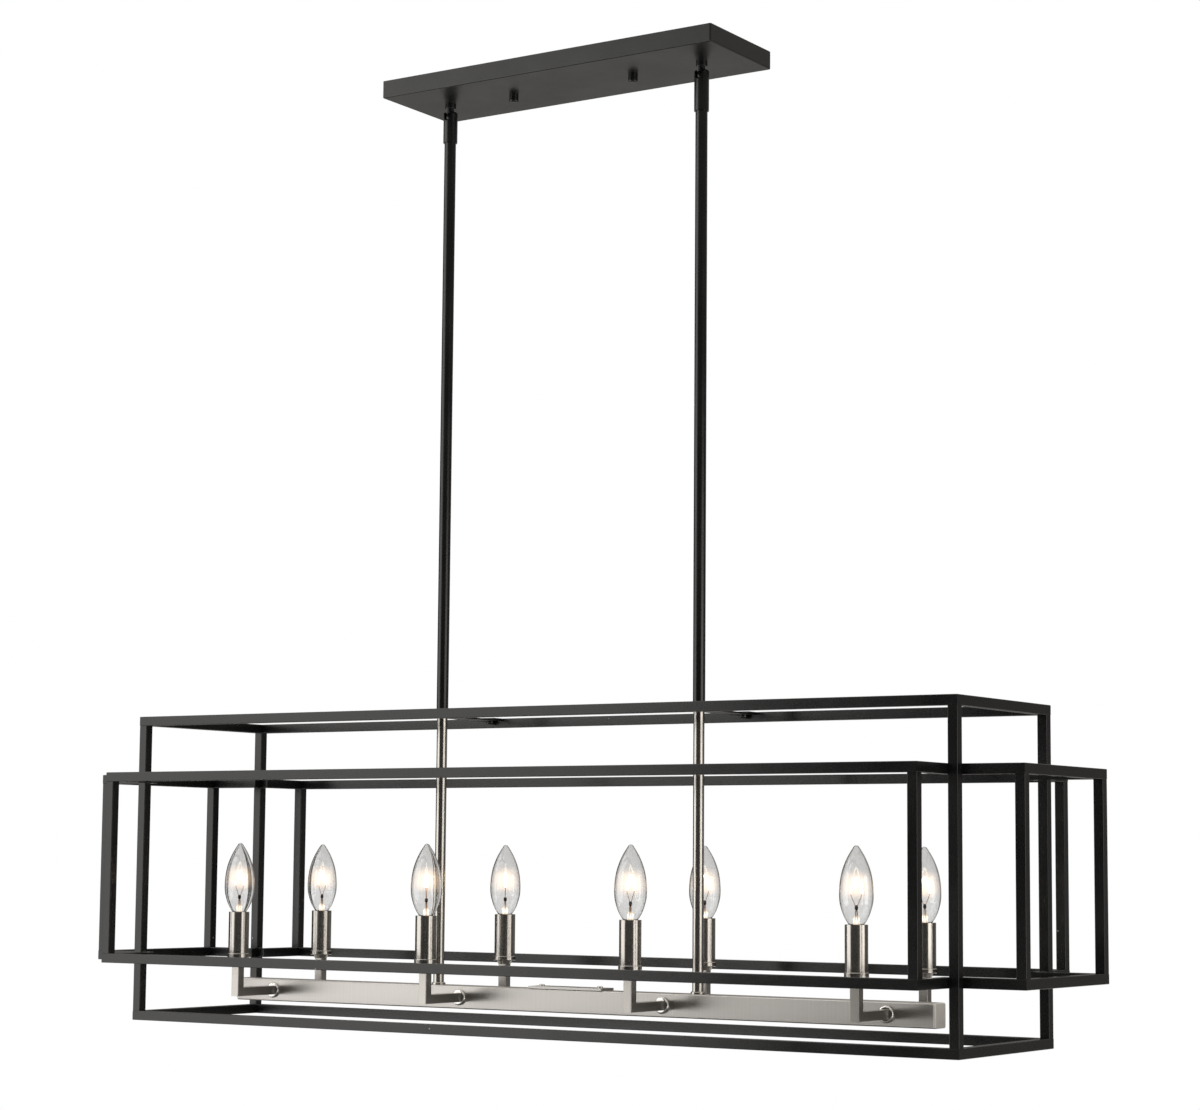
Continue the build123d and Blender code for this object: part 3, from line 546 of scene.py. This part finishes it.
# %% [markdown]
# ## The lamps
# Each lamp is a clear torpedo of thin blown glass on a candelabra screw base. Inside stands a glass stem with a
# flared foot; two lead wires spread from its pinched top and carry a coiled filament, which glows. Glass and base are
# round, so they are turned like work on a lathe: a half outline is swept once around the upright axis. All eight
# lamps share the same meshes.

# %% Turning helper
MM = 0.001


def smooth_through(points, steps):
    """More points on a smooth curve through the given ones."""
    padded = [points[0]] + list(points) + [points[-1]]
    curve = []
    for four in zip(padded, padded[1:], padded[2:], padded[3:]):
        for step in range(steps):
            t = step / steps
            spot = []
            for p, q, r, s in zip(*four):
                square, cube = 2 * p - 5 * q + 4 * r - s, 3 * q - p - 3 * r + s
                spot.append(0.5 * (2 * q + (r - p) * t + square * t * t + cube * t**3))
            curve.append(tuple(spot))
    curve.append(points[-1])
    return curve


def turned(name, outlines, material, segments):
    """A mesh turned from half outlines of (radius, height) in mm, each counter-clockwise seen from +Y."""
    angles = [2 * math.pi * k / segments for k in range(segments)]
    shape = bmesh.new()
    for outline in outlines:
        rings = []
        for radius, height in outline:
            if radius < 1e-6:
                rings.append([shape.verts.new((0, 0, height * MM))])
                continue
            across = radius * MM
            rings.append(
                [shape.verts.new((across * math.cos(a), across * math.sin(a), height * MM)) for a in angles]
            )
        for low, high in zip(rings, rings[1:]):
            for k in range(segments):
                n = (k + 1) % segments
                corners = [low[k % len(low)], low[n % len(low)], high[n % len(high)], high[k % len(high)]]
                unique = list(dict.fromkeys(corners))
                if len(unique) > 2:
                    shape.faces.new(unique)
    for face in shape.faces:
        face.smooth = True
    mesh = bpy.data.meshes.new(name)
    shape.to_mesh(mesh)
    shape.free()
    mesh.materials.append(material)
    return mesh


print("lathe ready")

# %% [markdown]
# ### Glow around the filament
# Close to a bright filament a photograph shows a soft round glow. A mask that is 1 near a given point and fades out
# around it says where the painted glow lies. It is used twice: for the painted glow around the filament, and for a
# painted highlight at the foot of the stem, which catches the light from above.

# %% Glow mask
haze, given, result = new_group(
    "filament_haze",
    {"Place": None, "Centre": (0.0, 0.0, 0.0355), "Reach": 0.0104},
    ("Glow",),
)
offset = haze.nodes.new("ShaderNodeVectorMath")
offset.operation = "DISTANCE"
haze.links.new(given["Place"], offset.inputs[0])
haze.links.new(given["Centre"], offset.inputs[1])
share = add_math(haze, "DIVIDE", offset.outputs["Value"], given["Reach"])
haze.links.new(add_math(haze, "POWER", ranged(haze, share, 1.0, 2.0, 1.0, 0.0), 1.6), result["Glow"])
print("made", haze.name)

# %% [markdown]
# ### Glass
# Clear lamp glass is a plain dielectric with a little grey. Towards the tip the grey grows stronger; that part is
# painted shade, for the darker look of the glass where it is seen at a slant. The glow is painted on it as light that
# it gives off: white in the middle and peach at the rim. It is kept to the part of the glass that faces the viewer,
# so that it stays round instead of turning into a belt.

# %% Lamp glass material
TIP_SHADE_FROM, TIP_SHADE_TO = 0.030, 0.066  # heights above the candle, in metres
LOW_TINT, TIP_PAINTED_SHADE = (0.84, 0.84, 0.835), (0.76, 0.755, 0.75)
GLOW_NARROWING = 6.0
PEACH, GLOW_WHITE = (0.42, 0.28, 0.17, 1), (1.0, 0.95, 0.86, 1)

glass, tree, shader, place = new_material(
    "clear_lamp_glass", Roughness=0.0, IOR=1.48, Transmission_Weight=1.0, Emission_Strength=0.55,
)
upwards = tree.nodes.new("ShaderNodeSeparateXYZ")
tree.links.new(place, upwards.inputs[0])
# painted shade: the glass's colour darkens with height towards the tip
painted_tip_shade = ranged(tree, upwards.outputs["Z"], TIP_SHADE_FROM, TIP_SHADE_TO, 0, 1)
tree.links.new(blend_colours(tree, painted_tip_shade, LOW_TINT, TIP_PAINTED_SHADE), shader.inputs["Base Color"])
turned_away = tree.nodes.new("ShaderNodeLayerWeight").outputs["Facing"]
towards = add_math(tree, "POWER", add_math(tree, "SUBTRACT", 1.0, turned_away), GLOW_NARROWING)
warmth = tree.nodes.new("ShaderNodeValToRGB")
warmth.color_ramp.elements[0].color = (0, 0, 0, 1)
warmth.color_ramp.elements[1].color = GLOW_WHITE
warmth.color_ramp.elements[1].position = 0.75
warmth.color_ramp.elements.new(0.3).color = PEACH
tree.links.new(add_math(tree, "MULTIPLY", use_group(tree, haze, place)["Glow"], towards), warmth.inputs["Fac"])
tree.links.new(warmth.outputs["Color"], shader.inputs["Emission Color"])
streaks = use_group(tree, grain, place, Stretch=(180.0, 180.0, 25.0))
raise_surface(tree, shader, streaks["Height"], 0.008, 0.0002)
print("made", glass.name)

# %% [markdown]
# ### Stem glass and hot wire
# The stem is clear glass too, with a painted highlight at its foot: the light it gives off there stands for the light
# it catches from above. The filament gives off its own light. The bulb's painted glow, the stem's painted highlight
# and the filament's light are too faint to light the rest, so they are left out of the search for light sources.

# %% Stem glass and filament
FOOT_HIGHLIGHT_CENTRE, FOOT_HIGHLIGHT_REACH, FOOT_HIGHLIGHT_COLOUR = (0.0, 0.0, 0.003), 0.0034, (1.0, 0.86, 0.70)
HOT_COLOUR, HOT_STRENGTH = (1.0, 0.85, 0.62), 6.0

stem_glass, tree, shader, place = new_material(
    "stem_glass", Base_Color=(0.97, 0.96, 0.94, 1), Roughness=0.03, IOR=1.5, Transmission_Weight=1.0,
    Emission_Strength=0.7,
)
# painted highlight: the stem's foot gives off light where it would catch the light from above
painted_foot_highlight = use_group(tree, haze, place, Centre=FOOT_HIGHLIGHT_CENTRE, Reach=FOOT_HIGHLIGHT_REACH)["Glow"]
tree.links.new(blend_colours(tree, painted_foot_highlight, (0, 0, 0), FOOT_HIGHLIGHT_COLOUR), shader.inputs["Emission Color"])

filament_hot, tree, shader, place = new_material(
    "hot_filament", Base_Color=(0.1, 0.09, 0.08, 1), Emission_Strength=HOT_STRENGTH
)
flicker = use_group(tree, grain, place, Stretch=(500.0, 500.0, 500.0))
cooler = tuple(c * 0.75 for c in HOT_COLOUR)
tree.links.new(blend_colours(tree, flicker["Shade"], cooler, HOT_COLOUR), shader.inputs["Emission Color"])

for faint in (glass, stem_glass, filament_hot):
    faint.cycles.emission_sampling = "NONE"
print("made", stem_glass.name, filament_hot.name)

# %% [markdown]
# ### Lamp glass
# The torpedo is widest below its middle and narrows to a small rounded point. Heights count from the top edge of the
# candle. The neck goes down into the candle and is closed there, and a second outline inside the first gives the
# glass its wall.

# %% Lamp glass
GLASS_OUTLINE = [
    (7.2, 0.0), (9.1, 2.6), (11.7, 7.4), (13.9, 13.3), (15.7, 20.5), (16.2, 27.5), (16.0, 34.0), (15.3, 41.0),
    (13.9, 48.3), (11.7, 55.2), (8.7, 62.2), (5.1, 68.6), (3.2, 71.5),
]
TIP, FOOT, WALL, FOOT_RADIUS = 74.0, -7.0, 0.7, 6.4


def glass_outline(inset, foot):
    """The outline from the closed foot to the tip, moved inwards by inset."""
    tip = TIP - inset
    points = [(radius - inset, height * tip / TIP) for radius, height in GLASS_OUTLINE]
    points += [((GLASS_OUTLINE[-1][0] - inset) * 0.6, tip - 0.7), (0.0, tip)]
    neck = FOOT_RADIUS - inset
    return [(0, foot), (neck, foot), (neck, foot + 3)] + smooth_through(points, 5)


inside = glass_outline(WALL, FOOT + 1.2)
glass_mesh = turned("lamp_glass", [glass_outline(0.0, FOOT), inside[::-1]], glass, 64)
print("lamp glass", len(glass_mesh.vertices), "points")

# %% [markdown]
# ### Stem
# The stem's flare is pressed into the neck, and a bead of glass runs round it just above the candle. On a real lamp
# its top is pinched flat around the wires, and the pinch looks dark because the wires and the seal crowd together
# there. A small dark bead, turned like the rest, stands for it.

# %% Stem
STEM_OUTLINE = [
    (5.2, -5.6), (4.8, -4.0), (3.7, -2.0), (3.0, 0.5), (2.8, 3.6), (3.4, 5.3), (2.6, 6.5), (1.7, 8.4),
    (1.5, 11.0), (1.1, 13.2),
]
SEAL_OUTLINE = [(0.0, 13.3), (1.2, 13.8), (1.7, 15.6), (1.3, 17.7), (0.0, 18.4)]

closed_stem = [(0, -5.7)] + smooth_through(STEM_OUTLINE, 4) + [(0, 13.5)]
stem_mesh = turned("lamp_stem", [closed_stem], stem_glass, 32)
seal_mesh = turned("lamp_seal", [smooth_through(SEAL_OUTLINE, 4)], phenolic, 20)
print("stem", len(stem_mesh.vertices), "points, seal", len(seal_mesh.vertices))

# %% [markdown]
# ### Leads
# Two copper wires come up through the stem and the seal, and spread like the arms of a Y to hold the filament.

# %% Leads
LEAD_OUTLINE = [(2.2, -4.5), (1.1, 2.0), (0.5, 9.0), (0.8, 16.0), (2.4, 21.0), (4.4, 25.6), (5.4, 29.0)]
LEAD_RADIUS = 0.3


def wire(name, points, radius, material, sides=8):
    """A round wire through points given in millimetres, turned into a mesh."""
    line = bpy.data.curves.new(name, "CURVE")
    line.dimensions = "3D"
    line.bevel_depth = radius * MM
    line.bevel_resolution = sides // 4
    line.use_fill_caps = True
    run = line.splines.new("POLY")
    run.points.add(len(points) - 1)
    for point, (x, y, z) in zip(run.points, points):
        point.co = (x * MM, y * MM, z * MM, 1)
    holder = bpy.data.objects.new(name, line)
    scene.collection.objects.link(holder)
    bpy.context.view_layer.update()
    mesh = bpy.data.meshes.new_from_object(holder.evaluated_get(bpy.context.evaluated_depsgraph_get()))
    bpy.data.objects.remove(holder)
    mesh.name = name
    mesh.materials.clear()
    mesh.materials.append(material)
    for polygon in mesh.polygons:
        polygon.use_smooth = True
    return mesh


lead_meshes = {}
for name, side in (("left", -1), ("right", 1)):
    path = smooth_through([(side * x, 0.0, z) for x, z in LEAD_OUTLINE], 5)
    lead_meshes[name] = wire("lamp_lead_" + name, path, LEAD_RADIUS, copper)
print("leads", len(lead_meshes))

# %% [markdown]
# ### Filament
# The filament is a fine coil bent into an arch. The wire winds round the arch, so each point of the arch is moved
# sideways by the coil's radius, in a direction that keeps turning.

# %% Filament
ARCH_POINTS = [(-5.4, 29.0), (-4.6, 34.5), (-2.4, 41.0), (0.0, 43.6), (2.4, 41.0), (4.6, 34.5), (5.4, 29.0)]
TURNS, COIL_RADIUS, COIL_WIRE = 34, 0.75, 0.28

arch = smooth_through(ARCH_POINTS, 24)
coil = []
for index, (x, z) in enumerate(arch):
    before = arch[max(index - 1, 0)]
    after = arch[min(index + 1, len(arch) - 1)]
    along = Vector((after[0] - before[0], 0, after[1] - before[1])).normalized()
    side = Vector((0, 1, 0))
    outward = along.cross(side)
    angle = 2 * math.pi * TURNS * index / (len(arch) - 1)
    coil.append(tuple(Vector((x, 0, z)) + (side * math.cos(angle) + outward * math.sin(angle)) * COIL_RADIUS))
filament_mesh = wire("lamp_filament", coil, COIL_WIRE, filament_hot, 6)
print("filament", len(filament_mesh.vertices), "points")

# %% [markdown]
# ### Screw base
# The base's shell is rolled brass with a coarse rounded thread, closed below by a glass button with the contact.
# Thread waves are turned as rings, about 2.6 mm apart, which at this size look the same as a true helix.

# %% Screw base
THREAD_TOP, THREAD_LOW, THREAD_TURNS = -7.9, -20.0, 4.6
THREAD_RADIUS, THREAD_WAVE, THREAD_STEPS = 5.55, 0.27, 60
SHELL_TOP = [(5.8, -7.6), (5.8, -7.05), (0, -7.05)]
SHELL_FOOT = [(0, -22.0), (3.0, -22.0), (5.0, -20.6)]
CONTACT_OUTLINE = [(0, -24.0), (1.6, -23.9), (2.4, -23.2), (2.5, -22.0), (0, -22.0)]


def thread_wave(radius, wave, low, high, steps):
    """A wavy line for a thread, from low to high."""
    return [
        (radius + wave * math.sin(k / steps * 2 * math.pi * THREAD_TURNS), low + (high - low) * k / steps)
        for k in range(steps + 1)
    ]


thread = thread_wave(THREAD_RADIUS, THREAD_WAVE, THREAD_LOW, THREAD_TOP, THREAD_STEPS)
shell_mesh = turned("lamp_shell", [SHELL_FOOT + thread + SHELL_TOP], brass, 40)
shell_mesh.set_sharp_from_angle(angle=math.radians(50))
contact_mesh = turned("lamp_contact", [CONTACT_OUTLINE], zinc, 24)
print("screw base", len(shell_mesh.vertices), "points")

# %% [markdown]
# ### Lamps into candles
# A lamp stops turning wherever its thread grips, so each one shows its filament from another side. Each lamp moves
# with its own body, because it can be screwed out.

# %% Put the lamps in their candles
LAMP_COUNT = 8
FIRST_TURN, TURN_STEP = 25, 47  # degrees
LAMP_PARTS = {
    "glass": glass_mesh, "stem": stem_mesh, "seal": seal_mesh, "lead_left": lead_meshes["left"],
    "lead_right": lead_meshes["right"], "filament": filament_mesh, "shell": shell_mesh, "contact": contact_mesh,
}
CANDLE_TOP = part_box("candle_sleeves_front")[1].z


def candle_axis(low, high):
    """The point on a candle's axis at its top edge, from the box of a solid that stands on that axis."""
    return Vector(((low.x + high.x) / 2, (low.y + high.y) / 2, CANDLE_TOP))


for number in range(1, LAMP_COUNT + 1):
    place = candle_axis(*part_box("bulb_glass_%d" % number))
    turn = Matrix.Rotation(math.radians(FIRST_TURN + TURN_STEP * number), 4, "Z")
    for part, mesh in LAMP_PARTS.items():
        piece = bpy.data.objects.new("lamp_%d_%s" % (number, part), mesh)
        scene.collection.objects.link(piece)
        piece.matrix_world = Matrix.Translation(place) @ turn
        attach(piece, "bulb_%d" % number)
        if part == "glass":
            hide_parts("bulb_glass_%d" % number)
        if part == "shell":
            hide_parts("bulb_base_%d" % number)
print("lamps placed at height", round(CANDLE_TOP, 4))

# %% [markdown]
# ### Brass linings
# Every candelabra socket has a threaded brass lining that grips the lamp and carries the current. It shows as a gold
# ring between the dark socket and the lamp's neck, and all of it shows when the lamp is out.

# %% Socket linings
LINING_LOW, LINING_TOP, LINING_OUTER = -22.5, -8.5, 6.19
LINING_RADIUS, LINING_WAVE, LINING_STEPS, LINING_EDGE = 6.02, 0.1, 40, -8.4

lining = thread_wave(LINING_RADIUS, LINING_WAVE, LINING_LOW, LINING_TOP, LINING_STEPS)
outside = [(LINING_OUTER, LINING_EDGE), (LINING_OUTER, LINING_LOW)]
lining_mesh = turned("socket_lining", [outside + lining + [(LINING_OUTER, LINING_EDGE)]], brass, 40)
for number in range(1, LAMP_COUNT + 1):
    piece = bpy.data.objects.new("socket_lining_%d" % number, lining_mesh)
    scene.collection.objects.link(piece)
    piece.location = candle_axis(*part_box("bulb_base_%d" % number))
    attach(piece, "hanging_frame")
print("linings", len(lining_mesh.vertices), "points each")

# %% [markdown]
# ## Welds
# The middle frames do not pass through the cage's corner posts. Their ends lie against the posts and are welded
# there, and short beads of weld show above and below each lap under the black coat. A bead is a row of overlapping
# drops, so it is drawn as a round wire whose thickness rises and falls.

# %% Bead maker
BEAD_SIDES, RINGS_PER_DROP = 10, 6
DROP_SWELL, END_STUB = 0.14, 0.15


def bead(shape, start, end, radius, drops):
    """Adds one bead from start to end, in metres, to a mesh being built."""
    start, end = Vector(start), Vector(end)
    along = (end - start).normalized()
    side = along.orthogonal().normalized()
    other = along.cross(side)
    angles = [2 * math.pi * j / BEAD_SIDES for j in range(BEAD_SIDES)]
    rings = []
    steps = drops * RINGS_PER_DROP
    for k in range(steps + 1):
        share = k / steps
        cap = min(1.0, 4 * share + END_STUB, 4 * (1 - share) + END_STUB)
        thick = radius * cap * (1 - DROP_SWELL + DROP_SWELL * abs(math.sin(math.pi * drops * share)))
        centre = start.lerp(end, share)
        rings.append(
            [shape.verts.new(centre + (side * math.cos(a) + other * math.sin(a)) * thick) for a in angles]
        )
    for low, high in zip(rings, rings[1:]):
        for j in range(BEAD_SIDES):
            n = (j + 1) % BEAD_SIDES
            shape.faces.new((low[j], low[n], high[n], high[j])).smooth = True
    shape.faces.new(rings[0][::-1])
    shape.faces.new(rings[-1])


print("bead maker ready")

# %% [markdown]
# Each corner post has beads on two sides, above and below every tube that is welded to it. The tabs that carry the
# cross straps have one bead each.

# %% Weld beads
TUBE = 0.010
BEAD_FROM, BEAD_TO = 0.001, 0.009  # along the tube's width
POST_BEAD, TAB_BEAD = 0.0011, 0.0009  # radii
POST_DROPS, TAB_DROPS = 5, 12

cage_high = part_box("cage_corner_posts")[1]
post_x, post_y = cage_high.x - TUBE, cage_high.y - TUBE
band_low, band_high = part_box("front_band_frame")
shape = bmesh.new()
for across in (-1, 1):
    for deep in (-1, 1):
        for level in (band_low.z, band_low.z + TUBE, band_high.z - TUBE, band_high.z):
            x, y = across * post_x, deep * post_y
            bead(shape, (x, y + deep * BEAD_FROM, level), (x, y + deep * BEAD_TO, level), POST_BEAD, POST_DROPS)
            bead(shape, (x + across * BEAD_FROM, y, level), (x + across * BEAD_TO, y, level), POST_BEAD, POST_DROPS)
tab_low, tab_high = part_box("strap_tabs")
for strap in ("cross_strap_left", "cross_strap_right"):
    low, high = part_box(strap)
    for deep in (-1, 1):
        y = deep * tab_high.y
        ends = (low.x + BEAD_FROM, y, tab_low.z), (high.x - BEAD_FROM, y, tab_low.z)
        bead(shape, *ends, TAB_BEAD, TAB_DROPS)
weld_mesh = bpy.data.meshes.new("lap_welds")
shape.to_mesh(weld_mesh)
shape.free()
weld_mesh.materials.append(black_coat)
welds = bpy.data.objects.new("lap_welds", weld_mesh)
scene.collection.objects.link(welds)
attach(welds, "hanging_frame")
print("welds", len(weld_mesh.polygons), "faces")
